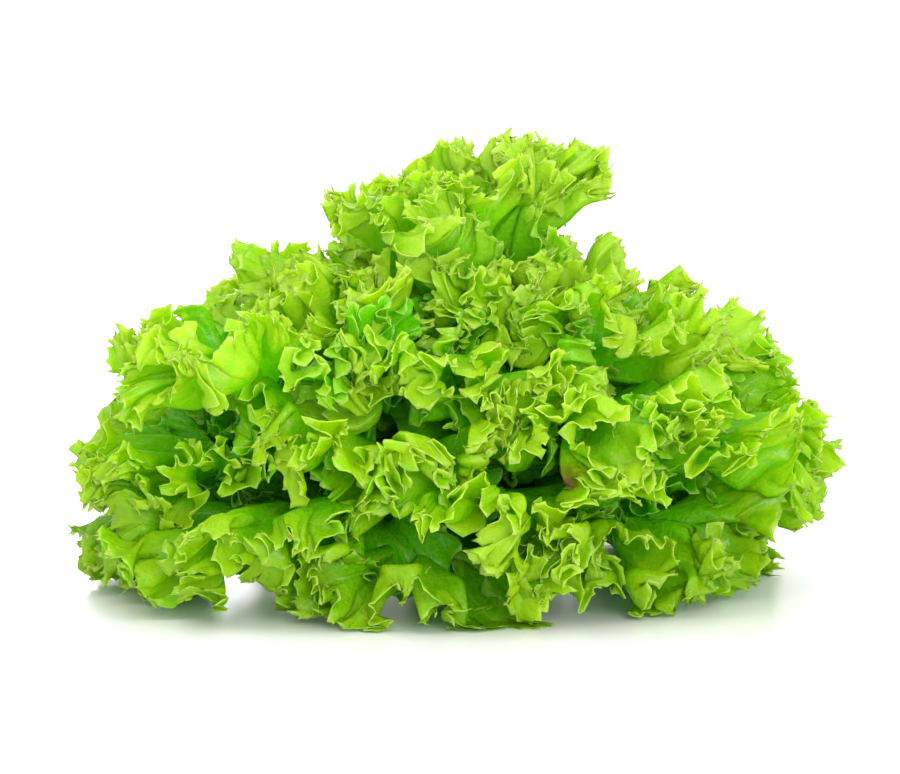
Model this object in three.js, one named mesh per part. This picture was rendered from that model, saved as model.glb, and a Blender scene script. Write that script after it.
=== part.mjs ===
// A head of green lollo lettuce, standing on its cut stem. Millimetres, +Z up.
// The origin is the centre of the stem's cut face, which lies on the surface that the head stands on.
//
// Leaves are numbered from the outside in and spaced round the stem by the golden angle, as they grow.
// Each leaf is a thin solid laid along its own nested shell, so that no two leaves can cross: a shell
// further in starts higher on the stem and stands steeper, all the way along, than the shell before it.
import * as THREE from "three";

// Driving dimensions
const LEAF_COUNT = 44;
const GOLDEN_ANGLE = 137.508; // degrees from one leaf to the next, round the stem
const FIRST_AZIMUTH = 262; // degrees, direction of leaf 1, counter-clockwise from +X seen from above
const GROUND_LEAVES = 3; // the lowest leaves, whose tips lie on the ground

const STEM_RADIUS = 14; // at the cut face
const STEM_SIDES = 24;
const STEM_STEPS = 10; // up the domed part of the stem
const ROOT_HEIGHT = { outer: 15, heart: 38 }; // where the lines of a leaf meet on the stem's axis
const ROOT_DISTANCE = { outer: 16, heart: 13 }; // from there to the leaf's foot
const ROOT_ANGLE = { outer: 75, heart: 3 }; // degrees from upright at the foot
const TIP_ANGLE = { outer: 95, heart: 8 }; // degrees from upright at the tip
const DROOP = 1.5; // how late along its length a leaf bends over: 1 bends it evenly
const ROOT_CROWDING = 1.2; // over 1 leaves more room between the feet at the top than at the bottom
const ROOT_GAP = 1.2; // between the stem and each leaf's foot

const REACH = { outer: 142, heart: 137 }; // from where the lines of a leaf meet to its tip
const SHOULDER_DIP = 18; // how much shorter the leaves are just below the heart
const LEAN = 14; // how far the top of the head leans towards +X
const HEAD_HEIGHT = 172;
const DEPTH_SCALE = 0.95; // the head is a little shallower along Y than it is wide

const HALF_WIDTH = { outer: 60, heart: 25 }; // of a blade, measured along its shell
const FOOT_HALF_WIDTH = { outer: 9, heart: 2.2 }; // where it leaves the stem
const WIDEST_AT = 0.75; // share of the way up a leaf where it reaches its full width
const TIP_ROUNDING = 0.3; // how far the tip's corners are set back, as a share of the length
const WIDEST_TURN = 75; // degrees: a leaf wraps no further than this round the head, each way

const BLADE_THICKNESS = { outer: 1.2, heart: 0.35 };
const RIB_THICKNESS = { outer: 2.4, heart: 0.1 }; // extra, over the midrib at the foot
const RIB_SHARE = 0.2; // the midrib's half-width, as a share of the blade's
const FRILL_HEIGHT = { outer: 1.5, heart: 0.5 }; // of the pleats along the margin
const FRILL_START = 0.7; // share of the way out to the margin where the pleats begin
const SIDE_FRILL = { none: 0.1, full: 0.7 }; // shares of the way up where the sides turn frilly

const radians = THREE.MathUtils.degToRad;
const smooth = THREE.MathUtils.smoothstep;

// The value at age 0 (outermost) to 1 (heart) of a pair given at the two ends.
const between = (pair, age) => THREE.MathUtils.lerp(pair.outer, pair.heart, age);

// Where one leaf sits in the head. Angles are in radians.
function leafRule(index) {
  const age = index / (LEAF_COUNT - 1);
  const tipAge = Math.max(0, index - GROUND_LEAVES + 1) / (LEAF_COUNT - GROUND_LEAVES);
  const highest = Math.cos(radians(TIP_ANGLE.heart));
  const lowest = Math.cos(radians(TIP_ANGLE.outer));
  return {
    azimuth: radians(FIRST_AZIMUTH + index * GOLDEN_ANGLE),
    ...rootRule(age),
    tipAngle: Math.acos(THREE.MathUtils.lerp(lowest, highest, tipAge)), // even over the dome
    reach: between(REACH, age) - SHOULDER_DIP * Math.sin(Math.PI * age ** 4),
    halfWidth: between(HALF_WIDTH, age),
    footHalfWidth: between(FOOT_HALF_WIDTH, age),
    frill: between(FRILL_HEIGHT, age),
    blade: between(BLADE_THICKNESS, age),
    rib: between(RIB_THICKNESS, age),
  };
}

// Where the foot of a leaf of this age stands. The stem tapers to a dome, and crowds its leaves less
// at the top.
function rootRule(age) {
  return {
    rootHeight: between(ROOT_HEIGHT, Math.sin((age * Math.PI) / 2)),
    rootDistance: between(ROOT_DISTANCE, age),
    rootAngle: radians(between(ROOT_ANGLE, age ** ROOT_CROWDING)),
  };
}

// Turns a distance from where the lines of a leaf meet, an angle from upright and an azimuth into a
// point of the head.
function headPoint(rootHeight, distance, angle, azimuth) {
  const x = distance * Math.sin(angle) * Math.cos(azimuth);
  const y = distance * Math.sin(angle) * Math.sin(azimuth) * DEPTH_SCALE;
  const z = rootHeight + distance * Math.cos(angle);
  return lean(new THREE.Vector3(x, y, z));
}

// The whole head leans a little: nothing moves at the ground, and the top moves by LEAN.
function lean(point) {
  point.x += LEAN * (point.z / HEAD_HEIGHT) ** 2;
  return point;
}

// A closed sheet from two grids of points, front and back, each [row][column], joined round the rim.
function closedSheet(front, back) {
  const rows = front.length;
  const columns = front[0].length;
  const positions = [...front.flat(), ...back.flat()].flatMap((p) => [p.x, p.y, p.z]);
  const backStart = rows * columns;
  const at = (row, column) => row * columns + column;
  const triangles = [];
  const quad = (a, b, c, d) => triangles.push(a, c, b, a, d, c);
  for (let row = 0; row < rows - 1; row++) {
    for (let column = 0; column < columns - 1; column++) {
      const corners = [at(row, column), at(row, column + 1), at(row + 1, column + 1), at(row + 1, column)];
      quad(...corners);
      quad(...corners.map((corner) => corner + backStart).reverse());
    }
  }
  const rim = [];
  for (let column = 0; column < columns - 1; column++) rim.push(at(0, column));
  for (let row = 0; row < rows - 1; row++) rim.push(at(row, columns - 1));
  for (let column = columns - 1; column > 0; column--) rim.push(at(rows - 1, column));
  for (let row = rows - 1; row > 0; row--) rim.push(at(row, 0));
  rim.forEach((from, step) => {
    const to = rim[(step + 1) % rim.length];
    quad(from, from + backStart, to + backStart, to);
  });
  const geometry = new THREE.BufferGeometry();
  geometry.setAttribute("position", new THREE.Float32BufferAttribute(positions, 3));
  geometry.setIndex(triangles);
  geometry.computeVertexNormals();
  return geometry;
}

// One leaf: a narrow, thick foot that spreads into a broad blade with a frilled margin.
function leafGeometry(rule, columns, rows) {
  const front = [];
  const back = [];
  for (let row = 0; row <= rows; row++) {
    const up = row / rows;
    const spread = smooth(up, 0, WIDEST_AT);
    const halfWidth = THREE.MathUtils.lerp(rule.footHalfWidth, rule.halfWidth, spread);
    const frontRow = [];
    const backRow = [];
    for (let column = 0; column <= columns; column++) {
      const across = (2 * column) / columns - 1;
      const along = up * (1 - TIP_ROUNDING * up * across * across);
      const distance = THREE.MathUtils.lerp(rule.rootDistance, rule.reach, along);
      const straight = THREE.MathUtils.lerp(rule.rootAngle, rule.tipAngle, along ** DROOP);

      const sideFrill = Math.abs(across) * smooth(up, SIDE_FRILL.none, SIDE_FRILL.full);
      const margin = Math.max(sideFrill, up);
      const crest = column % 2 ? 1 : -1;
      const frill = crest * rule.frill * smooth(margin, FRILL_START, 1);
      const angle = straight + frill / distance;

      const radius = distance * Math.sin(straight);
      const turn = (across * halfWidth) / radius;
      const widest = radians(WIDEST_TURN) * Math.abs(across);
      const azimuth = rule.azimuth + THREE.MathUtils.clamp(turn, -widest, widest);

      const rib = Math.max(0, 1 - Math.abs(across) / RIB_SHARE);
      const thickness = rule.blade + rule.rib * rib * (1 - up);
      const half = thickness / 2 / distance;
      frontRow.push(headPoint(rule.rootHeight, distance, angle - half, azimuth));
      backRow.push(headPoint(rule.rootHeight, distance, angle + half, azimuth));
    }
    front.push(frontRow);
    back.push(backRow);
  }
  restOnGround(front, back, rule.blade);
  return closedSheet(front, back);
}

// What would hang below the ground lies flat on it instead, with most of its thickness kept.
function restOnGround(front, back, thickness) {
  const leastThickness = 0.8 * thickness;
  back.forEach((backRow, row) =>
    backRow.forEach((under, column) => {
      const over = front[row][column];
      under.z = Math.max(under.z, 0);
      over.z = Math.max(over.z, under.z + leastThickness);
    }),
  );
}

// The stem: a short cut stump whose domed top passes just inside every leaf's foot.
function stemGeometry() {
  const profile = [new THREE.Vector2(0, 0), new THREE.Vector2(STEM_RADIUS, 0)];
  for (let step = 0; step <= STEM_STEPS; step++) {
    const { rootHeight, rootDistance, rootAngle } = rootRule(step / STEM_STEPS);
    const distance = rootDistance - ROOT_GAP;
    const height = rootHeight + distance * Math.cos(rootAngle);
    profile.push(new THREE.Vector2(distance * Math.sin(rootAngle), height));
  }
  profile.push(new THREE.Vector2(0, profile.at(-1).y + 0.1));
  const geometry = new THREE.LatheGeometry(profile, STEM_SIDES);
  geometry.rotateX(Math.PI / 2);
  const position = geometry.getAttribute("position");
  for (let i = 0; i < position.count; i++) {
    const point = lean(new THREE.Vector3().fromBufferAttribute(position, i));
    position.setXYZ(i, point.x, point.y * DEPTH_SCALE, point.z);
  }
  return geometry;
}

const materials = {
  outer: new THREE.MeshStandardMaterial({ color: 0x7cc21a, roughness: 0.5, metalness: 0 }),
  middle: new THREE.MeshStandardMaterial({ color: 0x8ed02a, roughness: 0.5, metalness: 0 }),
  heart: new THREE.MeshStandardMaterial({ color: 0xb4e05a, roughness: 0.5, metalness: 0 }),
  stem: new THREE.MeshStandardMaterial({ color: 0xe6edc4, roughness: 0.6, metalness: 0 }),
};

// The rings a cook would name, from the outside in, with the grid of each leaf in them.
const rings = [
  { name: "outer", count: 16, columns: 8, rows: 7 },
  { name: "middle", count: 16, columns: 8, rows: 6 },
  { name: "heart", count: 12, columns: 6, rows: 5 },
];

const lettuce = new THREE.Group();
lettuce.name = "lollo_lettuce";

const stem = new THREE.Mesh(stemGeometry(), materials.stem);
stem.name = "stem";
lettuce.add(stem);

let index = 0;
for (const ring of rings) {
  for (let number = 1; number <= ring.count; number++) {
    const geometry = leafGeometry(leafRule(index), ring.columns, ring.rows);
    const leaf = new THREE.Mesh(geometry, materials[ring.name]);
    leaf.name = `${ring.name}_leaf_${String(number).padStart(2, "0")}`;
    lettuce.add(leaf);
    index += 1;
  }
}

export default lettuce;
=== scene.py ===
# %% [markdown]
# # A head of green lollo lettuce
# A lollo head is a short stem with some forty leaves set round it in a spiral. Each leaf is a smooth
# blade near its midrib, and its margin has grown far longer than the blade can hold flat. So it buckles
# into folds, the folds into pleats and the pleats into cups, and the cups end in small teeth.
# The scene follows that: a plain blade, then folds, pleats, cups and teeth grown on it, then thickness.
# Sizes of the plant are given in millimetres. Its meshes, the camera and the lamps are in metres.

# %% Load the frame that the head is built round
import math

import bpy
import numpy as np
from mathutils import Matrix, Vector


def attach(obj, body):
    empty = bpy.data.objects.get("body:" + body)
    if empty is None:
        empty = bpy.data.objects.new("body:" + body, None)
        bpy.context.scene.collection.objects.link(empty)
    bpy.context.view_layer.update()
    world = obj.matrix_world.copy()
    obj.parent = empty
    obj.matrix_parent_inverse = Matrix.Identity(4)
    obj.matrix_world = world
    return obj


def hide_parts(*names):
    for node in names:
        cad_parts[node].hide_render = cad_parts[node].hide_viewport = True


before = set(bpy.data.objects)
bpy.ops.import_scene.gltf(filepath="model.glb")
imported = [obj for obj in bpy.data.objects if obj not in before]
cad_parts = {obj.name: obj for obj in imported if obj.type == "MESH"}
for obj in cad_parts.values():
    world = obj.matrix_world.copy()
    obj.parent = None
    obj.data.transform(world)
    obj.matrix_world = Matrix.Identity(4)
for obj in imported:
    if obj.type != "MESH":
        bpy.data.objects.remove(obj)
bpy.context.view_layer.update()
MM = 0.001
scene = bpy.context.scene
print("CAD nodes:", len(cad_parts))

# %% [markdown]
# ## Camera
# The head is seen almost level, from a little above the table, so that the dome and the leaves under it
# both show. A long lens keeps the near leaves from swelling, as a wide one would.

# %% Camera
VIEW_ELEVATION = 6.5  # degrees above level
VIEW_DISTANCE = 1.8
VIEW_WIDTH = 0.327  # how much it takes in, side to side, at the head's centre
VIEW_CENTRE = Vector((-0.001, 0.0, 0.071))

camera_data = bpy.data.cameras.new("camera")
camera = bpy.data.objects.new("camera", camera_data)
scene.collection.objects.link(camera)
elevation = math.radians(VIEW_ELEVATION)
camera.location = VIEW_CENTRE + VIEW_DISTANCE * Vector((0, -math.cos(elevation), math.sin(elevation)))
camera.rotation_euler = (VIEW_CENTRE - camera.location).to_track_quat("-Z", "Y").to_euler()
camera_data.lens = camera_data.sensor_width * VIEW_DISTANCE / VIEW_WIDTH
scene.camera = camera
print(f"lens {camera_data.lens:.0f} mm at {VIEW_DISTANCE} m")

# %% [markdown]
# ## Helpers
# Colours are picked as sRGB hex values, the way a colour picker shows them, and shaders work in linear
# light, so one function turns one into the other. Another adds a node, sets it up and links it. An input
# may be a number, a socket, or a whole node, which then gives its first result. That keeps every tree
# below short enough to read.

# %% Colour and node helpers


def linear(hex_colour):
    """An sRGB colour such as "88bf19" as linear RGBA."""
    channels = [int(hex_colour[i : i + 2], 16) / 255 for i in (0, 2, 4)]
    return [c / 12.92 if c <= 0.04045 else ((c + 0.055) / 1.055) ** 2.4 for c in channels] + [1.0]


def add(tree, kind, inputs=None, **settings):
    """Adds a node, sets its properties, and fills its inputs with values, sockets or nodes' results."""
    node = tree.nodes.new(kind)
    for name, value in settings.items():
        setattr(node, name, value)
    for key, value in (inputs or {}).items():
        if isinstance(value, bpy.types.Node):
            value = next(socket for socket in value.outputs if socket.enabled)
        if isinstance(value, bpy.types.NodeSocket):
            tree.links.new(value, node.inputs[key])
        else:
            node.inputs[key].default_value = value
    return node


print("mid green, linear:", [round(c, 3) for c in linear("88bf19")])

# %% Number helpers


def smoothstep(x, low, high):
    t = np.clip((x - low) / (high - low), 0, 1)
    return t * t * (3 - 2 * t)


def mix(a, b, t):
    return a + (b - a) * t


def running_total(steps):
    return np.concatenate([[0], np.cumsum(steps)])


print("halfway from 74 to 32:", mix(74, 32, 0.5))

# %% [markdown]
# ## Where the leaves sit
# A lettuce makes its leaves one after another, and each turns on from the last by the golden angle. They
# are numbered here from the outside in: each starts a little higher on the stem and stands a little
# steeper, so that the tips are spread evenly over the dome. Forty-four leaves could be placed by hand,
# but a rule never leaves a gap, and the CAD uses the same one, so each leaf lies along its own solid.

# %% The rule of the head, each pair given for the outermost leaf and for the heart
RINGS = {"outer": 16, "middle": 16, "heart": 12}
LEAF_COUNT = sum(RINGS.values())
GOLDEN_ANGLE = 137.508
FIRST_AZIMUTH = 262
GROUND_LEAVES = 3  # the lowest, whose tips lie on the table
ROOT_HEIGHT = (15, 38)  # mm up the axis, where the lines of a leaf meet
ROOT_DISTANCE = (16, 13)  # from there to its foot
REACH = (142, 137)  # and to its tip
ROOT_ANGLE = (75, 3)  # degrees from upright at the foot
TIP_ANGLE = (95, 8)
DROOP = 1.5  # how late along its length a leaf bends over: 1 bends it evenly
ROOT_CROWDING = 1.2  # over 1, the lowest feet stand closer together than the highest
SHOULDER_DIP = 18  # how much shorter the leaves are just below the heart
LEAN = 14  # how far the top of the head leans towards +X
HEAD_HEIGHT = 172
DEPTH_SCALE = 0.95  # the head is a little shallower along Y than it is wide
HALF_WIDTH = (74, 32)  # of a blade, along its shell
FOOT_HALF_WIDTH = (9, 2.2)
FOOT_DEPTH = 3  # how deep a leaf's foot goes into the stem

leaf_names = [f"{ring}_leaf_{k:02d}" for ring, count in RINGS.items() for k in range(1, count + 1)]


def leaf_rule(index):
    """Where leaf number index sits, in radians and mm. Its age is 0 outermost and 1 in the heart."""
    age = index / (LEAF_COUNT - 1)
    tip_age = max(0, index - GROUND_LEAVES + 1) / (LEAF_COUNT - GROUND_LEAVES)
    lowest, highest = (math.cos(math.radians(a)) for a in TIP_ANGLE)
    return {
        "age": age,
        "azimuth": math.radians(FIRST_AZIMUTH + index * GOLDEN_ANGLE),
        "root_height": mix(*ROOT_HEIGHT, math.sin(age * math.pi / 2)),
        "root_distance": mix(*ROOT_DISTANCE, age) - FOOT_DEPTH,
        "root_angle": math.radians(mix(*ROOT_ANGLE, age**ROOT_CROWDING)),
        "tip_angle": math.acos(mix(lowest, highest, tip_age)),
        "reach": mix(*REACH, age) - SHOULDER_DIP * math.sin(math.pi * age**4),
        "half_width": mix(*HALF_WIDTH, age),
        "foot_half_width": mix(*FOOT_HALF_WIDTH, age),
    }


steepest = math.degrees(leaf_rule(LEAF_COUNT - 1)["tip_angle"])
print(len(leaf_names), "leaves; the last one's tip stands", round(steepest), "degrees off upright")

# %% [markdown]
# ## A plain blade
# Before it buckles, a lollo leaf is a fan: a narrow thick foot, a short stalk, a broad round blade. Its
# veins run from the midrib out to the margin, and the frill's folds run the same way. A plane with many
# subdivisions would do for a blade, but its lines would cross the folds. So the blade is a grid whose
# columns are the veins, fine at the margin where the frill needs it and coarse inside.

# %% The midline of a leaf
MIDLINE_POINTS = 240  # while the line is worked out
CURL_FROM = 0.55  # share of the length where the tip begins to bend over
LEAST_WRAP_RADIUS = 6  # mm, a blade wraps round the head no tighter than this


def midline(rule, tip_curl, stretch):
    """Radius and height along a leaf, from foot to tip, with its tip bent further over than the CAD's."""
    along = np.linspace(0, 1, MIDLINE_POINTS)
    distance = mix(rule["root_distance"], rule["reach"] * stretch, along)
    angle = mix(rule["root_angle"], rule["tip_angle"], along**DROOP)
    radius = distance * np.sin(angle)
    height = rule["root_height"] + distance * np.cos(angle)
    heading = np.arctan2(np.gradient(radius), np.gradient(height))
    heading = heading + tip_curl * smoothstep(along, CURL_FROM, 1.0) * along
    step = np.hypot(np.gradient(radius), np.gradient(height))
    return {
        "along": along,
        "radius": radius[0] + np.cumsum(np.sin(heading) * step) - np.sin(heading[0]) * step[0],
        "height": height[0] + np.cumsum(np.cos(heading) * step) - np.cos(heading[0]) * step[0],
        "heading": heading,
        "wrap_radius": np.maximum(radius, LEAST_WRAP_RADIUS),
        "length": step.sum(),
    }


straight = midline(leaf_rule(0), 0.0, 1.0)
print(f"outermost leaf: {straight['length']:.0f} mm from foot to tip")

# %% The outline of a leaf
STALK = 0.02  # share of the length before the blade starts to spread
SHOULDER = 0.60  # share of the length where it is widest
MARGIN_POINTS = 4800  # while the margin is worked out


def outline(rule):
    """The plain margin, foot to tip to foot: the place along the leaf and the half-width there."""
    t = np.linspace(-1, 1, MARGIN_POINTS)
    along = np.cos(t * math.pi / 2)
    spread = mix(rule["foot_half_width"], rule["half_width"], smoothstep(along, STALK, SHOULDER))
    rounding = np.clip((along - SHOULDER) / (1 - SHOULDER), 0, 1) ** 3
    return along, -np.sign(t) * spread * np.sqrt(1 - rounding)


along, width = outline(leaf_rule(0))
plain_margin = np.hypot(np.diff(width), np.diff(along) * straight["length"]).sum()
print(f"outermost leaf: its plain margin is {plain_margin:.0f} mm long")

# %% [markdown]
# ## Phases of the frill
# The frill is a meander within a meander within a meander. Folds some 4 cm long carry pleats half that
# length, the pleats carry cups of about a centimetre, and each cup's rim ends in small teeth. The finer
# the wave, the nearer it stays to the margin. A cloth simulation could buckle an overlong margin, but
# sines are quick, come out the same each time, and can be given their sizes in millimetres. Lengths and
# heights wander along the margin, as growth does. Each wave makes the margin longer, and the next is
# measured along that. The grid's columns are spread evenly along the last.

# %% Sizes of the frill in mm, each length along the margin that the wave before it has bent
# Overhang is how far the flanks lean over, depth how far in the wave begins, flare over 1 keeps it near
# the margin, and wobble is how far its phase drifts, in radians.
FRILL = {
    "fold": {"length": 40.0, "height": 15.0, "overhang": 4.2, "depth": 75.0, "flare": 1.5, "wobble": 0.8},
    "pleat": {"length": 18.0, "height": 7.0, "overhang": 2.6, "depth": 30.0, "flare": 1.6, "wobble": 1.6},
    "cup": {"length": 8.8, "height": 4.6, "overhang": 2.1, "depth": 14.0, "flare": 1.4, "wobble": 1.4},
}
FRILLY_FROM = (0.15, 0.5)  # shares of the leaf's length over which the margin turns frilly
LENGTH_WANDER = {"spacing": 3.1, "amount": 0.33, "limits": (0.55, 1.7)}  # spacing in waves
HEIGHT_WANDER = {"spacing": 1.9, "amount": 0.4, "limits": (0.3, 1.7)}


def wander(rng, u, wave_length, habit):
    """A smooth random factor near 1 along u, changing over a few waves."""
    length = habit["spacing"] * wave_length
    total = np.zeros_like(u)
    for octave in (1.0, 0.53):
        own_length = length * octave * rng.uniform(0.8, 1.25)
        total += octave * np.sin(2 * math.pi * u / own_length + rng.uniform(0, 7))
    return np.clip(1 + habit["amount"] * total / 1.2, *habit["limits"])


def margin_waves(rng, along, bent, size):
    """Phase and size of each wave along the margin, and the margin's length as they have bent it."""
    frilly = smoothstep(along, *FRILLY_FROM)
    waves = {}
    for name, shape in FRILL.items():
        usual = shape["length"] * size
        local = usual * wander(rng, bent, usual, LENGTH_WANDER)
        phase = 2 * math.pi * running_total(np.diff(bent) / local[1:]) + rng.uniform(0, 6.3)
        growth = frilly * size * (local / usual) * wander(rng, bent, usual, HEIGHT_WANDER)
        waves[name + "_phase"], waves[name + "_size"] = phase, growth
        rise = np.diff(shape["height"] * growth * np.sin(phase))
        run = np.diff(bent - shape["overhang"] * growth * np.sin(2 * phase))
        bent = running_total(np.hypot(rise, run))
    return waves, bent


plain = running_total(np.hypot(np.diff(width), np.diff(along) * straight["length"]))
frilled = margin_waves(np.random.default_rng(1), along, plain, 1.0)[1]
print(f"frilled, that margin is {frilled[-1] * MM:.1f} m long")

# %% The columns of the grid
COLUMNS_PER_CUP = 9.5
COARSEST = 64  # the column count is a multiple of this, so that the coarsest rows fit
SEEN_FROM = (0.35, 0.55)  # share of the length, outermost and heart: nearer the foot, the head hides it
SEEN_FADE = 0.3
HIDDEN_DENSITY = 0.12  # columns there, as a share of the columns further out


def margin_columns(rng, rule, length, size):
    """The columns of a leaf: where each meets the margin, and its phase and size in each wave."""
    along, width = outline(rule)
    plain = running_total(np.hypot(np.diff(width), np.diff(along) * length))
    waves, bent = margin_waves(rng, along, plain, size)
    seen_from = mix(*SEEN_FROM, rule["age"])
    seen = smoothstep(along[1:], seen_from, seen_from + SEEN_FADE)
    density = running_total(np.diff(bent) * mix(HIDDEN_DENSITY, 1.0, seen))
    cups = (waves["cup_phase"][-1] - waves["cup_phase"][0]) / (2 * math.pi) * density[-1] / bent[-1]
    count = COARSEST * max(2, round(cups * COLUMNS_PER_CUP / COARSEST))
    at = np.interp(np.linspace(0, density[-1], count + 1), density, np.arange(len(density)))
    facts = {"along": along, "width": width, **waves}
    return {key: np.interp(at, np.arange(len(along)), values) for key, values in facts.items()}


example = margin_columns(np.random.default_rng(1), leaf_rule(0), straight["length"], 1.0)
print("outermost leaf:", len(example["along"]) - 1, "columns")

# %% [markdown]
# ## The grid of one leaf
# An even grid would be simpler, but it would spend most of its faces where the blade is smooth. So the
# rows stand closer towards the margin and use more of the columns. Where a row uses every second column
# of the next, each of its edges meets two edges, and three triangles bridge them. Both sides of a leaf
# share the midrib, so their innermost row is one row of points.

# %% Rows of the grid
# From the midrib (0) to the margin (1), each with the step between the columns it uses
ROWS = [
    (0.0, 32), (0.08, 32), (0.2, 32), (0.34, 16), (0.47, 16), (0.58, 8), (0.67, 4), (0.75, 4),
    (0.81, 2), (0.86, 2), (0.90, 2), (0.933, 2), (0.962, 2), (1.0, 1),
]


def stitched_faces(rows):
    """Faces between rows of point numbers, each with as many segments as the last, or twice as many."""
    faces = []
    for inner, outer in zip(rows[:-1], rows[1:]):
        for k, (a, b) in enumerate(zip(inner[:-1], inner[1:])):
            if len(outer) == len(inner):
                faces.append((a, b, outer[k + 1], outer[k]))
            else:
                c, d, e = outer[2 * k : 2 * k + 3]
                faces += [(a, d, c), (a, b, d), (b, e, d)]
    return faces


def rows_of_points(count):
    """Each row's share of the way out, its columns, and its point numbers."""
    rows, first = [], 0
    for share, step in ROWS:
        columns = np.arange(0, count + 1, step)
        if share == 0:  # the midrib: both sides meet in the same points
            half = len(columns) // 2 + 1
            ids = np.concatenate([np.arange(half), np.arange(half - 1)[::-1]])
            columns = columns[:half]
        else:
            ids = first + np.arange(len(columns))
        rows.append((share, columns, ids))
        first += len(columns)
    return rows


print(len(ROWS), "rows; columns in each:", [len(columns) for _, columns, _ in rows_of_points(COARSEST)])

# %% A leaf's shell and the blade on it
WIDEST_TURN = 1.3  # radians, how far a blade wraps round the head, each way
VEIN_START = 0.5  # a vein leaves the midrib at about this share of the height where it ends
VEIN_START_POWER = 1.1  # over 1, the lowest veins leave it lower still
VEIN_BEND = 0.9  # under 1, a vein climbs first and then turns out to the margin
NUDGE = 0.02  # of a vein's length, the step that tells a point which way is out
LEAST_STEP = 1e-5  # so that the foot of the midrib has a way out too
WAVE_FACTS = [f"{name}_{part}" for name in FRILL for part in ("phase", "size")]


def on_shell(rule, line, wave, x, along):
    """Points in mm on a leaf's shell: x across it, and along it from its foot (0) to its tip (1)."""
    keys = ("radius", "height", "heading", "wrap_radius")
    radius, height, heading, wrap_radius = (np.interp(along, line["along"], line[key]) for key in keys)
    lift = wave["height"] * along**2 * np.sin(2 * math.pi * x / wave["length"] + wave["phase"])
    lift = lift + wave["droop"] * (x / rule["half_width"]) ** 2 * along
    radius = radius + lift * np.cos(heading)
    height = height - lift * np.sin(heading)
    turn = np.clip(x / wrap_radius, -WIDEST_TURN, WIDEST_TURN)
    azimuth = rule["azimuth"] + turn + wave["sway"] * along**2
    return np.stack([radius * np.cos(azimuth), radius * np.sin(azimuth) * DEPTH_SCALE, height], axis=1)


def blade(rng, rule, line, wave, size):
    """The plain blade of a leaf: points in mm, faces, and what each point knows of its place."""
    ends = margin_columns(rng, rule, line["length"], size)
    rows = rows_of_points(len(ends["along"]) - 1)
    share = np.concatenate([np.full(len(columns), out) for out, columns, _ in rows])
    column = np.concatenate([columns for _, columns, _ in rows])

    start = VEIN_START * ((ends["along"] + ends["along"][::-1]) / 2) ** VEIN_START_POWER
    width, climb = ends["width"][column], ends["along"][column] - start[column]
    x, along = width * share, start[column] + climb * share**VEIN_BEND
    points = on_shell(rule, line, wave, x, along)
    outward = on_shell(rule, line, wave, x + NUDGE * width, along + NUDGE * climb + LEAST_STEP) - points
    outward /= np.maximum(np.linalg.norm(outward, axis=1), 1e-9)[:, None]
    vein_length = np.hypot(width, climb * line["length"])
    facts = {
        "column": column, "share": share, "off_rib": np.abs(x), "along": along, "outward": outward,
        "to_margin": (1 - share) * vein_length, "from_rib": share * vein_length,
        "waves": {key: ends[key][column] for key in WAVE_FACTS},
    }
    return points, stitched_faces([ids for _, _, ids in rows]), facts


calm = {"height": 0.0, "length": 80.0, "phase": 0.0, "droop": 0.0, "sway": 0.0}
points, faces, facts = blade(np.random.default_rng(1), leaf_rule(0), straight, calm, 1.0)
print(f"outermost blade: {len(points)} points, {len(faces)} faces")

# %% [markdown]
# ## One wave with Geometry Nodes
# One node group makes a meander: it pushes each point along the surface's normal by the sine of its
# phase, and leans the flanks over with a second sine along the margin, so that a fold is wider at its
# crest than at its foot. A Wave modifier only moves points up and down. The group is used three times,
# and each time it reads the normals that the last has left, so that pleats stand on folds and cups on
# pleats, as they grow.

# %% The meander group


def meander_group():
    tree = bpy.data.node_groups.new("meander", "GeometryNodeTree")
    tree.interface.new_socket("Leaf", in_out="INPUT", socket_type="NodeSocketGeometry")
    for name in ("Phase", "Growth", "Height", "Overhang"):
        tree.interface.new_socket(name, in_out="INPUT", socket_type="NodeSocketFloat")
    tree.interface.new_socket("Leaf", in_out="OUTPUT", socket_type="NodeSocketGeometry")
    entry = add(tree, "NodeGroupInput").outputs

    height = add(tree, "ShaderNodeMath", {0: entry["Height"], 1: entry["Growth"]}, operation="MULTIPLY")
    wave = add(tree, "ShaderNodeMath", {0: entry["Phase"]}, operation="SINE")
    rise = add(tree, "ShaderNodeMath", {0: wave, 1: height}, operation="MULTIPLY")
    normal = add(tree, "GeometryNodeInputNormal")
    up = add(tree, "ShaderNodeVectorMath", {0: normal, "Scale": rise}, operation="SCALE")

    overhang = add(tree, "ShaderNodeMath", {0: entry["Overhang"], 1: entry["Growth"]}, operation="MULTIPLY")
    double = add(tree, "ShaderNodeMath", {0: entry["Phase"], 1: -2.0}, operation="MULTIPLY")
    lean = add(tree, "ShaderNodeMath", {0: double}, operation="SINE")
    slip = add(tree, "ShaderNodeMath", {0: lean, 1: overhang}, operation="MULTIPLY")
    outward = add(tree, "GeometryNodeInputNamedAttribute", {"Name": "outward"}, data_type="FLOAT_VECTOR")
    across = add(tree, "ShaderNodeVectorMath", {0: outward, 1: normal}, operation="CROSS_PRODUCT")
    along_margin = add(tree, "ShaderNodeVectorMath", {0: across}, operation="NORMALIZE")
    aside = add(tree, "ShaderNodeVectorMath", {0: along_margin, "Scale": slip}, operation="SCALE")

    move = add(tree, "ShaderNodeVectorMath", {0: up, 1: aside}, operation="ADD")
    moved = add(tree, "GeometryNodeSetPosition", {"Geometry": entry["Leaf"], "Offset": move})
    add(tree, "NodeGroupOutput", {"Leaf": moved})
    return tree


meander = meander_group()
print("meander group:", len(meander.nodes), "nodes")

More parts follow.
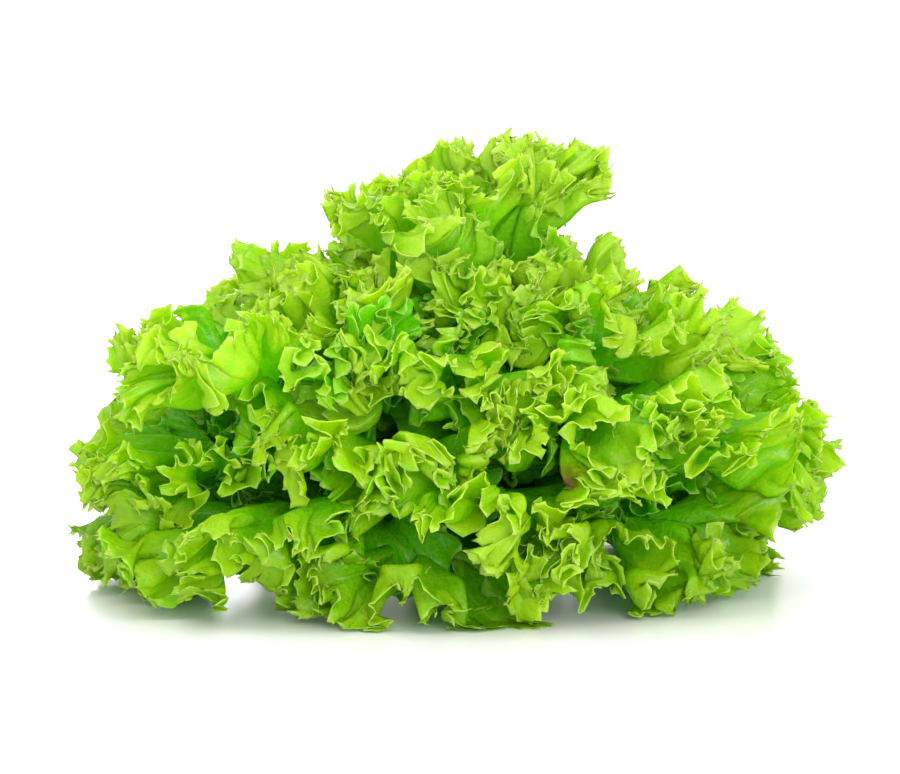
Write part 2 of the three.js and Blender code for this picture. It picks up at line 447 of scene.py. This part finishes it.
# %% [markdown]
# ## The whole frill
# A real frill isn't as regular as three sines. Its waves drift sideways, its tissue grows unevenly and
# pushes the leaf about, and because tissue has some stiffness it rounds its own creases. Last come the
# teeth, small points where a vein ends at the rim. Sculpting would give all this to one leaf. A tree
# gives it to each of them, from sizes that are inputs of the modifier and from what each point knows.

# %% Sizes of the frill tree's inputs in mm
FRILL_SIZES = {
    f"{name.title()} {part}": shape[part]
    for name, shape in FRILL.items()
    for part in ("height", "overhang", "depth")
}
FRILL_SIZES |= {
    "Rib calm": 12.0,  # the midrib is too stiff to buckle, out to here
    "Wobble spacing": 15.0,
    "Large crumple": 7.0, "Large crumple spacing": 30.0, "Large crumple depth": 70.0,
    "Small crumple": 4.2, "Small crumple spacing": 12.0, "Small crumple depth": 110.0,
    "Evening from": 24.0, "Evening to": 8.0,  # from the margin
    "Tooth length": 2.3, "Crisp": 0.2,
}
print(len(FRILL_SIZES), "sizes")

# %% Two parts of the frill that its steps share


def near_margin(tree, known, depth, flare):
    """Grows from 0 at this depth to 1 at the margin, and is 0 over the midrib."""
    inward = {"Value": known["to_margin"], "From Min": depth, "From Max": 0.0}
    nearness = add(tree, "ShaderNodeMapRange", inward)
    flared = add(tree, "ShaderNodeMath", {0: nearness, 1: flare}, operation="POWER")
    return add(tree, "ShaderNodeMath", {0: flared, 1: known["off_rib"]}, operation="MULTIPLY")


def noise_about(tree, spacing):
    """Three noises at once, as a colour, whose features are about this far apart."""
    place = add(tree, "GeometryNodeInputPosition")
    per_metre = add(tree, "ShaderNodeMath", {0: 1.0, 1: spacing}, operation="DIVIDE")
    noise = add(tree, "ShaderNodeTexNoise", {"Vector": place, "Scale": per_metre, "Detail": 1.0})
    return noise.outputs["Color"]


# %% Folds, pleats and cups
NOISE_RANGE = (0.3, 0.7)  # noise seldom leaves this


def waved(tree, entry, known, leaf):
    """Three meanders, each on the last, with phases that drift a little."""
    noise = add(tree, "ShaderNodeSeparateXYZ", {0: noise_about(tree, entry["Wobble spacing"])})
    wobble = add(tree, "ShaderNodeMapRange", dict(enumerate((noise, *NOISE_RANGE, -1.0, 1.0))))
    for name, shape in FRILL.items():
        drift = {0: wobble, 1: shape["wobble"], 2: known[name + "_phase"]}
        nearness = near_margin(tree, known, entry[name.title() + " depth"], shape["flare"])
        growth = {0: nearness, 1: known[name + "_size"]}
        inputs = {
            "Leaf": leaf,
            "Phase": add(tree, "ShaderNodeMath", drift, operation="MULTIPLY_ADD"),
            "Growth": add(tree, "ShaderNodeMath", growth, operation="MULTIPLY"),
            "Height": entry[name.title() + " height"],
            "Overhang": entry[name.title() + " overhang"],
        }
        leaf = add(tree, "GeometryNodeGroup", inputs, node_tree=meander)
    return leaf


print("waves, the longest first:", ", ".join(FRILL))

# %% Crumple, and the evening out of creases
NOISE_MIDDLE = (0.5, 0.5, 0.5)
NOISE_SWING = 4.0  # turns what noise strays from its middle into about 1 either way
EVENED = (0.1, 0.7)  # how far a point gives way to its neighbours, inside and at the margin
EVENING_ROUNDS = 3


def crumpled(tree, entry, known, leaf):
    """Uneven growth pushes the frill about, more the nearer the margin."""
    for scale in ("Large", "Small"):
        noise = noise_about(tree, entry[scale + " crumple spacing"])
        centred = add(tree, "ShaderNodeVectorMath", {0: noise, 1: NOISE_MIDDLE}, operation="SUBTRACT")
        nearness = near_margin(tree, known, entry[scale + " crumple depth"], 1.0)
        swing = {0: entry[scale + " crumple"], 1: NOISE_SWING}
        most = add(tree, "ShaderNodeMath", swing, operation="MULTIPLY")
        amount = add(tree, "ShaderNodeMath", {0: nearness, 1: most}, operation="MULTIPLY")
        push = add(tree, "ShaderNodeVectorMath", {0: centred, "Scale": amount}, operation="SCALE")
        leaf = add(tree, "GeometryNodeSetPosition", {"Geometry": leaf, "Offset": push})
    return leaf


def evened(tree, entry, known, leaf):
    """Tissue doesn't crease: neighbouring points even each other out."""
    band = (known["to_margin"], entry["Evening from"], entry["Evening to"], *EVENED)
    inputs = {
        "Value": add(tree, "GeometryNodeInputPosition"),
        "Iterations": EVENING_ROUNDS,
        "Weight": add(tree, "ShaderNodeMapRange", dict(enumerate(band))),
    }
    rounded = add(tree, "GeometryNodeBlurAttribute", inputs, data_type="FLOAT_VECTOR")
    return add(tree, "GeometryNodeSetPosition", {"Geometry": leaf, "Position": rounded})


print("creases are evened", EVENING_ROUNDS, "times")

# %% Teeth and a crisp rim


def toothed(tree, entry, known, leaf):
    """Points stand out along the surface, and the rim stands a little up and down between them."""
    normal = add(tree, "GeometryNodeInputNormal")
    outward = add(tree, "GeometryNodeInputNamedAttribute", {"Name": "outward"}, data_type="FLOAT_VECTOR")
    lift = add(tree, "ShaderNodeVectorMath", {0: outward, 1: normal}, operation="DOT_PRODUCT")
    off = add(tree, "ShaderNodeVectorMath", {0: normal, "Scale": lift}, operation="SCALE")
    level = add(tree, "ShaderNodeVectorMath", {0: outward, 1: off}, operation="SUBTRACT")
    rimward = add(tree, "ShaderNodeVectorMath", {0: level}, operation="NORMALIZE")
    out = add(tree, "ShaderNodeMath", {0: known["tooth"], 1: entry["Tooth length"]}, operation="MULTIPLY")
    tooth = add(tree, "ShaderNodeVectorMath", {0: rimward, "Scale": out}, operation="SCALE")
    height = add(tree, "ShaderNodeMath", {0: known["crisp"], 1: entry["Crisp"]}, operation="MULTIPLY")
    crisp = add(tree, "ShaderNodeVectorMath", {0: normal, "Scale": height}, operation="SCALE")
    edge = add(tree, "ShaderNodeVectorMath", {0: tooth, 1: crisp}, operation="ADD")
    return add(tree, "GeometryNodeSetPosition", {"Geometry": leaf, "Offset": edge})


print("usual tooth:", FRILL_SIZES["Tooth length"], "mm")

# %% The frill tree
POINT_FACTS = ["to_margin", "from_rib", "tooth", "crisp", *WAVE_FACTS]


def frill_tree():
    tree = bpy.data.node_groups.new("lollo frill", "GeometryNodeTree")
    tree.interface.new_socket("Leaf", in_out="INPUT", socket_type="NodeSocketGeometry")
    for name, size in FRILL_SIZES.items():
        socket = tree.interface.new_socket(name, in_out="INPUT", socket_type="NodeSocketFloat")
        socket.default_value = size * MM
    tree.interface.new_socket("Finish", in_out="INPUT", socket_type="NodeSocketMaterial")
    tree.interface.new_socket("Leaf", in_out="OUTPUT", socket_type="NodeSocketGeometry")
    entry = add(tree, "NodeGroupInput").outputs
    known = {
        name: add(tree, "GeometryNodeInputNamedAttribute", {"Name": name}, data_type="FLOAT")
        for name in POINT_FACTS
    }
    off_rib = {"Value": known["from_rib"], "From Max": entry["Rib calm"]}
    known["off_rib"] = add(tree, "ShaderNodeMapRange", off_rib, interpolation_type="SMOOTHSTEP")

    leaf = entry["Leaf"]
    for step in (waved, crumpled, evened, toothed):
        leaf = step(tree, entry, known, leaf)
    real = add(tree, "GeometryNodeRealizeInstances", {"Geometry": leaf})
    finished = add(tree, "GeometryNodeSetMaterial", {"Geometry": real, "Material": entry["Finish"]})
    add(tree, "NodeGroupOutput", {"Leaf": finished})
    return tree


frill = frill_tree()
print("frill tree:", len(frill.nodes), "nodes")

# %% [markdown]
# ## The finish of the leaves
# A lollo leaf is thin, wet tissue: much of the light that falls on it comes out of the other side, as a
# warmer yellow-green, and that glow fills the cups. The surface has a soft waxy shine. Colour follows
# age and place: deeper green on the blade, paler and yellower out on the frill, almost white-green on the
# rim itself and along the veins and the midrib. The rim's pale colour is partly the tissue's own and
# partly a painted highlight. Towards its foot, deep in the head, each leaf is painted a deeper green
# still, as painted shade of the recesses between the leaves. The heart is paler than the outer leaves.
# The lowest leaves are darker, partly their own deeper green and partly painted shade low on the head,
# and one stretch of margin has begun to brown.
# Subsurface scattering suits thick things, so the finish is a Principled surface mixed with a
# Translucent one. Its colours are laid over one another in turn, and the share of each is read from what
# every point knows, such as how far it is from the margin, and from noise for the tissue's unevenness.

# %% Sizes of the leaf's finish
FRILL_WIDTH = 26.0  # mm over which the frill turns paler
# the rim's paleness is partly the tissue's own and partly a painted highlight
RIM_WIDTH = 2.4  # mm of pale rim
VEINED_FROM = (2.0, 14.0)  # mm from the margin, where the veins begin to show and where they show in full
PATCH_SIZE = 22.0  # mm, patches of lighter and darker tissue
MOTTLE_SIZE = 3.5  # mm, the small unevenness of the tissue between the veins
NET_SIZE = 3.2  # mm, the mesh of fine veins, drawn coarser than it grows so that it shows
BROWNED_AT = (38.5, -107.0, 53.0)  # mm, a stretch of margin on the front that has begun to brown
BROWNED_SIZE = (9.0, 3.6)  # mm from there, where the browning ends and where it is full
BROWNED_DEPTH = (12.0, 2.0)  # mm in from the margin, the same
RELIEF_DEPTH = 0.25  # mm, how far veins and blisters stand out
GLOW_SHARE = 0.66  # of the light, what comes through the leaf
TISSUE_IOR = 1.38  # between water and cell walls
BROWNED_COLOUR = "7c5a0e"
# painted shade: darkens the lowest leaves beyond their own deeper green, for the shade low on the head
LOW_LEAF_SHADE_TINT = "e0ecc0"
GLOW_TINT = "fff478"
print(f"net of veins: {1 / (NET_SIZE * MM):.0f} cells a metre")

# %% Where each colour and each relief goes


def leaf_shares(tree, patches, fine, net, place):
    """What is read, its low and its high end, and the share at each, where that isn't 0 and 1."""
    known = {
        name: add(tree, "ShaderNodeAttribute", attribute_name=name).outputs["Fac"]
        for name in ("to_margin", "along", "age", "rib", "pleat_phase")
    }
    half_phase = add(tree, "ShaderNodeMath", {0: known["pleat_phase"], 1: 0.5}, operation="MULTIPLY")
    vein_wave = add(tree, "ShaderNodeMath", {0: half_phase}, operation="SINE")
    off_vein = add(tree, "ShaderNodeMath", {0: vein_wave}, operation="ABSOLUTE")
    browned_place = tuple(c * MM for c in BROWNED_AT)
    from_browned = add(tree, "ShaderNodeVectorMath", {0: place, 1: browned_place}, operation="DISTANCE")
    ranges = {
        "frill": (known["to_margin"], FRILL_WIDTH * MM, 0.0),
        "patches": (patches, *NOISE_RANGE, -0.35, 0.35),
        "mottle": (fine, *NOISE_RANGE, -0.3, 0.3),
        # painted shade: towards its foot, deep in the head, each leaf turns a deeper green that stands in
        # for the shade of the recesses between the leaves
        "blade": (known["along"], 0.93, 0.6),
        # painted shade: the lowest leaves are darkened as shade low on the head
        "low leaves shaded": (known["age"], 0.24, 0.02),
        "vein": (off_vein, 0.22, 0.0, 0.0, 0.55),
        "veined": (known["to_margin"], *(d * MM for d in VEINED_FROM)),
        "net": (net, 0.12, 0.0, 0.0, 0.3),
        "midrib": (known["rib"], 0.05, 0.7),
        # painted highlight: the pale rim partly stands in for the highlights its edges catch
        "rim": (known["to_margin"], RIM_WIDTH * MM, 0.0),
        "broken rim": (fine, 0.35, 0.65, 0.1, 0.6),
        "near browning": (from_browned, *(d * MM for d in BROWNED_SIZE)),
        "browned margin": (known["to_margin"], *(d * MM for d in BROWNED_DEPTH)),
        "broken browning": (fine, 0.3, 0.6, 0.45, 1.0),
        "between veins": (net, 0.0, 0.3),
        "blisters": (fine, 0.2, 0.8, 0.0, 3.0),
        "roughness": (patches, *NOISE_RANGE, 0.34, 0.5),
    }
    return {
        name: add(tree, "ShaderNodeMapRange", dict(enumerate(values)), interpolation_type="SMOOTHSTEP")
        for name, values in ranges.items()
    }


# %% Leaf finishes


def leaf_finish(name, recess_shade_colour, blade_colour, frill_colour, rim_and_highlight_colour, vein_colour):
    """Fresh lettuce leaf: thin wet tissue, soft waxy shine, light coming through."""
    material = bpy.data.materials.new(name)
    material.use_nodes = True
    tree = material.node_tree
    tree.nodes.clear()
    place = add(tree, "ShaderNodeTexCoord").outputs["Object"]
    wide = {"Vector": place, "Scale": 1 / (PATCH_SIZE * MM), "Detail": 3.0}
    patches = add(tree, "ShaderNodeTexNoise", wide)
    small = {"Vector": place, "Scale": 1 / (MOTTLE_SIZE * MM), "Detail": 2.0}
    fine = add(tree, "ShaderNodeTexNoise", small)
    cells = {"Vector": place, "Scale": 1 / (NET_SIZE * MM)}
    net = add(tree, "ShaderNodeTexVoronoi", cells, feature="DISTANCE_TO_EDGE")
    share = leaf_shares(tree, patches, fine, net, place)

    patchy = add(tree, "ShaderNodeMath", {0: share["frill"], 1: share["patches"]}, operation="ADD")
    paler = add(tree, "ShaderNodeMath", {0: patchy, 1: share["mottle"]}, operation="ADD", use_clamp=True)
    veins = add(tree, "ShaderNodeMath", {0: share["vein"], 1: share["veined"]}, operation="MULTIPLY")
    rim = add(tree, "ShaderNodeMath", {0: share["rim"], 1: share["broken rim"]}, operation="MULTIPLY")
    browning = {0: share["near browning"], 1: share["browned margin"]}
    browning = add(tree, "ShaderNodeMath", browning, operation="MULTIPLY")
    browned = add(tree, "ShaderNodeMath", {0: browning, 1: share["broken browning"]}, operation="MULTIPLY")
    colour = linear(blade_colour)
    for how_much, laid_over, way in (
        (paler, frill_colour, "MIX"),
        # painted shade of the recesses: deeper green towards each leaf's foot
        (share["blade"], recess_shade_colour, "MIX"),
        # painted shade low on the head, laid over the lowest leaves
        (share["low leaves shaded"], LOW_LEAF_SHADE_TINT, "MULTIPLY"),
        (veins, vein_colour, "MIX"),
        (share["net"], vein_colour, "MIX"),
        (share["midrib"], vein_colour, "MIX"),
        # pale rim, partly the tissue's own colour and partly a painted highlight
        (rim, rim_and_highlight_colour, "MIX"),
        (browned, BROWNED_COLOUR, "MIX"),
    ):
        layers = {0: how_much, 6: colour, 7: linear(laid_over)}
        colour = add(tree, "ShaderNodeMix", layers, data_type="RGBA", blend_type=way)

    raised = {0: share["between veins"], 1: share["blisters"]}
    blisters = add(tree, "ShaderNodeMath", raised, operation="ADD")
    height = add(tree, "ShaderNodeMath", {0: blisters, 1: veins}, operation="ADD")
    relief = add(tree, "ShaderNodeBump", {"Height": height, "Strength": 0.5, "Distance": RELIEF_DEPTH * MM})
    wet_surface = {
        "Base Color": colour, "Roughness": share["roughness"], "IOR": TISSUE_IOR,
        "Coat Weight": 0.55, "Coat Roughness": 0.18, "Normal": relief,
    }
    surface = add(tree, "ShaderNodeBsdfPrincipled", wet_surface)
    warmed = {0: 1.0, 6: colour, 7: linear(GLOW_TINT)}
    warmer = add(tree, "ShaderNodeMix", warmed, data_type="RGBA", blend_type="MULTIPLY")
    glow = add(tree, "ShaderNodeBsdfTranslucent", {"Color": warmer, "Normal": relief})
    both = add(tree, "ShaderNodeMixShader", {0: GLOW_SHARE, 1: surface, 2: glow})
    add(tree, "ShaderNodeOutputMaterial", {"Surface": both})
    return material


# colours in order: painted recess shade, blade, frill, pale rim with its painted highlight, veins
finishes = {
    "outer": leaf_finish("outer leaf", "70e800", "a0ee00", "c9f018", "eaf8a0", "caf040"),
    "middle": leaf_finish("middle leaf", "7aec00", "aaf000", "cdf226", "eefaaa", "cef24e"),
    "heart": leaf_finish("heart leaf", "8eee00", "b4f206", "d0f438", "f0fcb0", "d4f460"),
}
print("leaf finishes:", ", ".join(finishes))

# %% [markdown]
# ## The finish of the stem
# The stem is cut straight across with a knife. Its flesh is pale, wet and fibrous, and the ring of vein
# ends in it browns a little in the air. The leaves hide nearly all of it, so the CAD's own stem stays
# and only gets this finish. The ring and the fibres are worked out from the distance to the axis.

# %% Stem finish
STRAND_SIZE = 1.2  # mm, the fibres of the cut stem
VEIN_RING = (7.0, 12.0)  # mm from the axis, where the stem's veins stand
FLESH_COLOUR = "e2ecbc"
CUT_VEIN_COLOUR = "b98f52"


def stem_finish():
    """Cut lettuce stem: pale, wet, fibrous, with a ring of vein ends that browns a little in the air."""
    material = bpy.data.materials.new("cut lettuce stem")
    material.use_nodes = True
    tree = material.node_tree
    tree.nodes.clear()
    place = add(tree, "ShaderNodeTexCoord").outputs["Object"]
    flat = add(tree, "ShaderNodeVectorMath", {0: place, 1: (1, 1, 0)}, operation="MULTIPLY")
    off_axis = add(tree, "ShaderNodeVectorMath", {0: flat}, operation="LENGTH")
    fibres = {"Vector": flat, "Scale": 1 / (STRAND_SIZE * MM), "Detail": 2.0}
    strands = add(tree, "ShaderNodeTexNoise", fibres)
    across = {"Value": off_axis, "From Min": VEIN_RING[0] * MM, "From Max": VEIN_RING[1] * MM}
    ring = add(tree, "ShaderNodeMapRange", across)
    half_turn = add(tree, "ShaderNodeMath", {0: ring, 1: math.pi}, operation="MULTIPLY")
    in_ring = add(tree, "ShaderNodeMath", {0: half_turn}, operation="SINE")
    browned = add(tree, "ShaderNodeMath", {0: in_ring, 1: strands}, operation="MULTIPLY")
    layers = {0: browned, 6: linear(FLESH_COLOUR), 7: linear(CUT_VEIN_COLOUR)}
    wet_flesh = {
        "Base Color": add(tree, "ShaderNodeMix", layers, data_type="RGBA"),
        "Normal": add(tree, "ShaderNodeBump", {"Height": strands, "Strength": 0.4, "Distance": 0.3 * MM}),
        "Roughness": 0.35, "IOR": TISSUE_IOR, "Subsurface Weight": 0.2, "Subsurface Scale": 2 * MM,
    }
    surface = add(tree, "ShaderNodeBsdfPrincipled", wet_flesh)
    add(tree, "ShaderNodeOutputMaterial", {"Surface": surface})
    return material


for slot in bpy.data.objects["stem"].material_slots:
    slot.material = stem_finish()
    print("stem:", slot.material.name)

# %% [markdown]
# ## How the leaves differ
# A rule alone gives a head as regular as a fir cone. In a real one each leaf bends, waves and reaches a
# little its own way, the shoulders of the head draw in below the knob of the heart, and some leaves
# stand out. So each leaf draws its own habit from its own seed, the profile of the whole head is a short
# table, and the leaves that stand out are listed by number.

# %% Habits, from which each leaf draws its own
BILLOW_HEIGHT = (5, 12)  # mm, of the slow waves across a blade
BILLOW_LENGTH = (60, 100)
SIDE_DROOP = (-20, -5)  # mm that an outer leaf's sides hang: below 0 they rise, and it is a shallow bowl
SWAY = (-0.12, 0.12)  # radians, how far its tip turns aside
UPTURNED = (-50, -5)  # degrees that a young leaf's tip bends further over: below 0 it turns up
LYING = (-12, 4)  # the same for an old leaf
YOUNG_FROM = (0.1, 0.4)  # the ages between which an old leaf's habit turns into a young one's
LESS_UPTURN_IN_HEART = 0.6
REACH_SPREAD = (-0.03, 0.03)  # share of the rule's reach
FRILL_SCALE = (1.0, 0.7)  # of the outermost leaf and of the heart

# The head's profile: how far leaves reach at each angle from upright, as a share of the rule's reach
REACH_BY_ANGLE = (
    (5, 0.88), (20, 0.95), (30, 0.86), (38, 0.74), (52, 0.76), (66, 0.95), (80, 0.96), (95, 0.89),
)
LOPSIDED = 0.06  # share that the flanks reach further towards -X, and less far towards +X
FLANKS_FROM, FLANKS_TO = (26, 40), (64, 80)  # degrees from upright, over which they begin and end

# Leaves that stand out: their own share of the reach, and degrees that their tips bend further over
STANDOUTS = {
    0: (1.02, 4), 1: (1.05, 0), 2: (1.03, 12), 3: (0.95, 6), 5: (1.12, 4), 6: (1.02, 2), 11: (0.98, 0),
    13: (1.0, 10), 15: (0.98, 10), 16: (1.0, 10), 18: (1.12, -2), 19: (0.90, 18), 20: (0.97, 0),
    21: (1.0, 14), 23: (0.87, 10), 31: (1.03, 34), 39: (1.14, 14), 40: (1.09, -6), 41: (0.94, 36),
    42: (1.03, 22),
}
FIRST_SEED = 100
# Leaves in plain view that grow better folds from another seed than 100 and their number
OTHER_SEEDS = {0: 200, 3: 203, 5: 305, 10: 411, 13: 413, 16: 416, 18: 618}


def leaf_habit(rng, index):
    """The rule of a leaf, its bent midline, and the slow waves across it."""
    rule = leaf_rule(index)
    age = rule["age"]
    wave = {
        "height": rng.uniform(*BILLOW_HEIGHT),
        "length": rng.uniform(*BILLOW_LENGTH),
        "phase": rng.uniform(0, 6.3),
        "droop": rng.uniform(*SIDE_DROOP) * (1 - age),
        "sway": rng.uniform(*SWAY),
    }
    young = smoothstep(age, *YOUNG_FROM) * (1 - LESS_UPTURN_IN_HEART * age)
    tip_curl = math.radians(rng.uniform(*UPTURNED) * young + rng.uniform(*LYING) * (1 - young))
    tip_angle = math.degrees(rule["tip_angle"])
    stretch = np.interp(tip_angle, *zip(*REACH_BY_ANGLE)) + rng.uniform(*REACH_SPREAD)
    flank = smoothstep(tip_angle, *FLANKS_FROM) * (1 - smoothstep(tip_angle, *FLANKS_TO))
    stretch *= 1 - LOPSIDED * flank * math.cos(rule["azimuth"])
    own_reach, own_bend = STANDOUTS.get(index, (1.0, 0.0))
    return rule, midline(rule, tip_curl + math.radians(own_bend), stretch * own_reach), wave


print(len(STANDOUTS), "leaves stand out")

# %% The ragged edge
TOOTH_EVERY = (3, 6)  # columns, the second left out
TOOTH_SIZES = (0.3, 1.3)  # of the usual length
TOOTH_FOOT = 0.35  # how far the columns beside a point stand out with it
TEETH_FROM = 0.94  # share of the way out
CRISP_FROM = 0.93


def teeth(rng, count):
    """How far each column's end stands out: a point every few columns, and a shallow bay between points."""
    points = np.cumsum(rng.integers(*TOOTH_EVERY, count))
    points = points[points < count]
    stands_out = np.zeros(count + 1)
    stands_out[points] = rng.uniform(*TOOTH_SIZES, len(points))
    beside = np.maximum(np.roll(stands_out, 1), np.roll(stands_out, -1))
    return np.maximum(stands_out, TOOTH_FOOT * beside)


def ragged_edge(rng, column, share):
    """For each point, how far it stands out as part of a tooth, and up or down as part of a crisp rim."""
    count = column.max()
    tooth = teeth(rng, count)[column] * smoothstep(share, TEETH_FROM, 1.0)
    crisp = rng.normal(0, 1, count + 1)[column] * smoothstep(share, CRISP_FROM, 1.0)
    return {"tooth": tooth, "crisp": crisp}


example = teeth(np.random.default_rng(1), 1000)
print("longest of some 250 teeth:", round(example.max() * FRILL_SIZES["Tooth length"], 1), "mm")

# %% [markdown]
# ## Thickness
# A lettuce leaf is about a quarter of a millimetre thick, and its midrib is half a centimetre thick at
# the foot and fades out up the leaf. Both faces could be modelled, but a Solidify modifier gives the
# grown sheet its second face and its rim, and a vertex group tells it how thick each point is.

# %% Midrib and thickness in mm, each pair given at the foot and at the tip
BLADE_THICKNESS = 0.26
RIB_THICKNESS = (5.0, 0.6)  # over the blade's
RIB_HALF_WIDTH = (8.0, 1.2)
RIB_FADES = (0.5, 0.8)  # share of the leaf's length


def midrib(along, off_rib):
    """1 on the crest of the midrib, 0 off it and above its end."""
    half_width = mix(*RIB_HALF_WIDTH, along**0.6)
    rib = np.clip(1 - (off_rib / half_width) ** 2, 0, 1) ** 1.5
    return rib * (1 - smoothstep(along, *RIB_FADES))


def leaf_thickness(age, along, rib):
    return BLADE_THICKNESS + mix(*RIB_THICKNESS, along**0.5) * (1 - 0.5 * age) * rib


foot = np.array([0.0])
print("outermost leaf at its foot:", leaf_thickness(0, foot, midrib(foot, foot))[0], "mm thick")

# %% Meshes and what their points know


def new_mesh(name, points, faces):
    mesh = bpy.data.meshes.new(name)
    mesh.from_pydata([tuple(p) for p in points], [], faces)
    mesh.update()
    return mesh


def teach(mesh, facts):
    """Keeps numbers or directions on the mesh's points, where the trees read them by name."""
    for name, values in facts.items():
        kind, part = ("FLOAT", "value") if values.ndim == 1 else ("FLOAT_VECTOR", "vector")
        attribute = mesh.attributes.new(name, kind, "POINT")
        attribute.data.foreach_set(part, values.astype(np.float32).ravel())


print("the frill reads:", ", ".join(POINT_FACTS))

# %% Dress a blade with the two modifiers
frill_inputs = {item.name: item.identifier for item in frill.interface.items_tree if item.in_out == "INPUT"}


def dress(leaf, finish, thickness):
    """Lets a plain blade grow its frill and its thickness, and keeps the result as a plain mesh."""
    group = leaf.vertex_groups.new(name="thickness")
    for point, share in enumerate(thickness / thickness.max()):
        group.add([point], float(share), "REPLACE")
    nodes = leaf.modifiers.new("frill", "NODES")
    nodes.node_group = frill
    for name, size in FRILL_SIZES.items():
        nodes[frill_inputs[name]] = size * MM
    nodes[frill_inputs["Finish"]] = finish
    shell = leaf.modifiers.new("thickness", "SOLIDIFY")
    shell.thickness = thickness.max() * MM
    shell.offset = -1
    shell.use_rim = True
    shell.vertex_group = group.name

    evaluated = leaf.evaluated_get(bpy.context.evaluated_depsgraph_get())
    grown = bpy.data.meshes.new_from_object(evaluated)
    leaf.modifiers.clear()
    leaf.data = grown
    leaf.vertex_groups.clear()
    grown.polygons.foreach_set("use_smooth", [True] * len(grown.polygons))


print("inputs of the frill:", ", ".join(frill_inputs))

# %% Grow one leaf


def grow_leaf(index):
    """One leaf, from its seed to its finished mesh."""
    rng = np.random.default_rng(OTHER_SEEDS.get(index, FIRST_SEED + index))
    rule, line, wave = leaf_habit(rng, index)
    points, faces, facts = blade(rng, rule, line, wave, mix(*FRILL_SCALE, rule["age"]))
    rib = midrib(facts["along"], facts["off_rib"])
    mesh = new_mesh(leaf_names[index], points * MM, faces)
    teach(mesh, facts["waves"] | ragged_edge(rng, facts["column"], facts["share"]))
    teach(mesh, {name: facts[name] * MM for name in ("to_margin", "from_rib")})
    teach(mesh, {"outward": facts["outward"], "along": facts["along"], "rib": rib})
    teach(mesh, {"age": np.full(len(points), rule["age"])})
    leaf = bpy.data.objects.new(leaf_names[index] + "_grown", mesh)
    scene.collection.objects.link(leaf)
    dress(leaf, finishes[leaf_names[index].split("_")[0]], leaf_thickness(rule["age"], facts["along"], rib))
    return leaf


# %% [markdown]
# ## Settling on the table
# The whole head leans a little, as a cut head does when it is set down, and its lowest leaves lie on the
# table and spread. A soft-body simulation of forty leaves that touch would take many minutes. Pressing
# every low point gently up to the table looks the same.

# %% Settle
FLOOR_SOFTNESS = 6.0  # mm over which leaves are pressed up as they near the table


def settle(mesh):
    """Leans the head a little and lets what would hang through the table lie on it."""
    points = np.empty(len(mesh.vertices) * 3, np.float32)
    mesh.vertices.foreach_get("co", points)
    points = points.reshape(-1, 3) / MM
    points[:, 0] += LEAN * (np.clip(points[:, 2], 0, None) / HEAD_HEIGHT) ** 2
    z = points[:, 2]
    low = z < FLOOR_SOFTNESS
    z[low] = FLOOR_SOFTNESS * np.exp((z[low] - FLOOR_SOFTNESS) / FLOOR_SOFTNESS)
    mesh.vertices.foreach_set("co", (points * MM).ravel())
    mesh.update()


print("what would be level with the table lies", round(FLOOR_SOFTNESS / math.e, 1), "mm over it")

# %% [markdown]
# ## Growing the head
# Every leaf rides on the one body there is, stands for its CAD solid and takes its ring's finish. All
# could be joined into one mesh, but single leaves are easier to look at and to change.

# %% Grow all the leaves
triangles = 0
for index, name in enumerate(leaf_names):
    leaf = grow_leaf(index)
    settle(leaf.data)
    leaf.data.calc_loop_triangles()
    triangles += len(leaf.data.loop_triangles)
    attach(leaf, "root")
    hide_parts(name)
print(LEAF_COUNT, "leaves,", triangles, "triangles")

# %% [markdown]
# ## Floor and light
# The head stands on a white sheet in a white room. The bright world lights all sides, a soft lamp in
# front gives the waxy shine its highlights, and one behind shines through the leaves. Small hard lamps
# would make every cup's shadow black.

# %% Floor
FLOOR_HALF = 20.0  # metres, so far out that every view ends on it
FLOOR_WHITE = 0.97

corners = [(x * FLOOR_HALF, y * FLOOR_HALF, 0) for x, y in ((-1, -1), (1, -1), (1, 1), (-1, 1))]
floor_mesh = new_mesh("floor", corners, [(0, 1, 2, 3)])
floor = bpy.data.objects.new("floor", floor_mesh)
scene.collection.objects.link(floor)
floor_finish = bpy.data.materials.new("white acrylic sheet")  # smooth: it mirrors the head faintly
floor_finish.use_nodes = True
sheet = floor_finish.node_tree.nodes["Principled BSDF"]
sheet.inputs["Base Color"].default_value = (FLOOR_WHITE, FLOOR_WHITE, FLOOR_WHITE, 1)
sheet.inputs["Roughness"].default_value = 0.25
floor_mesh.materials.append(floor_finish)
print("floor:", 2 * FLOOR_HALF, "m wide")

# %% Light
WORLD_STRENGTH = 1.2
SOFTBOXES = {  # where it stands, what it points at, its side in metres and its power in watts
    "top softbox": ((-0.25, -0.2, 1.1), (0, 0, 0.06), 0.9, 5),
    "front softbox": ((0.4, -1.65, 0.5), (0, 0, 0.1), 0.8, 21),
    "back softbox": ((-0.3, 1.6, 0.7), (0, 0, 0.08), 0.8, 14),
}

world = bpy.data.worlds.new("studio")
scene.world = world
world.use_nodes = True
background = world.node_tree.nodes["Background"]
background.inputs["Color"].default_value = (1, 1, 1, 1)
background.inputs["Strength"].default_value = WORLD_STRENGTH
for name, (stand, target, side, power) in SOFTBOXES.items():
    lamp_data = bpy.data.lights.new(name, "AREA")
    lamp_data.shape = "RECTANGLE"
    lamp_data.size, lamp_data.size_y, lamp_data.energy = side, side, power
    lamp = bpy.data.objects.new(name, lamp_data)
    scene.collection.objects.link(lamp)
    lamp.location = stand
    lamp.rotation_euler = (Vector(target) - Vector(stand)).to_track_quat("-Z", "Y").to_euler()
    print(f"{name}: {power} W")
scene.view_settings.view_transform = "Standard"
